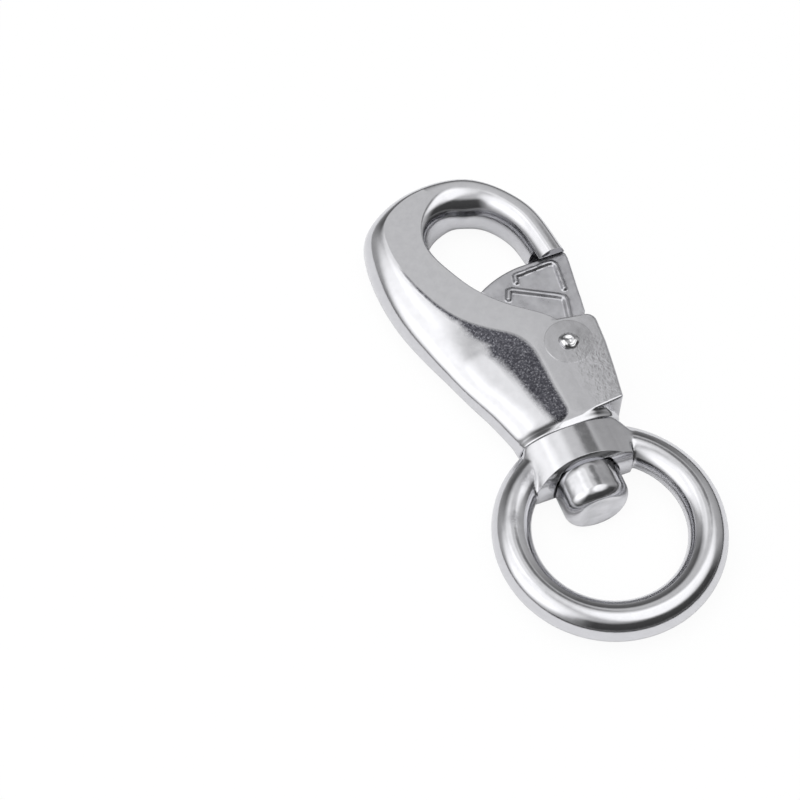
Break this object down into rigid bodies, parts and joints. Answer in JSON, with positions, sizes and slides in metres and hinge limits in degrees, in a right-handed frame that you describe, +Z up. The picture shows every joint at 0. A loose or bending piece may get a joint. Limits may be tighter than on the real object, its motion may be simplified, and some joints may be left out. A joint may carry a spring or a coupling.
{
  "type": "swivel snap hook",
  "caption": "Cast swivel snap hook: a rounded hook closed by a sprung gate, its shank turning in the collar of a round eye ring.",
  "frame": {"origin": "on the floor under the swivel axis, where the shoulder of the shank faces the collar", "axes": "+Y along the swivel axis from the ring to the hook's crown, +X from the spine to the gate, +Z up from the floor that the hook lies on"},
  "size_m": [0.0403, 0.0967, 0.0121],
  "materials": {
    "polished_casting": "polished stainless steel, with an as-cast patch beside the cheeks",
    "cast_gate": "satin cast stainless steel",
    "pin_steel": "bright, staked by hand",
    "spring_steel": "drawn spring wire",
    "polished_ring": "polished stainless steel"
  },
  "bodies": {
    "hook": {"hook_body": "polished_casting", "gate_pin": "pin_steel", "gate_spring": "spring_steel"},
    "gate": {"gate": "cast_gate"},
    "ring": {"swivel_ring": "polished_ring"}
  },
  "joints": [
    {"name": "gate_hinge", "type": "hinge", "parent": "hook", "child": "gate", "pos_m": [0.0069, 0.0157, 0.0059], "axis": [0, 0, 1], "range_deg": [0, 30], "stiffness_Nm_per_rad": 0.02, "springref_deg": -34.38, "deforming": ["gate_spring"]},
    {"name": "ring_swivel", "type": "hinge", "parent": "hook", "child": "ring", "pos_m": [0, 0, 0.0059], "axis": [0, 1, 0], "continuous": true}
  ]
}
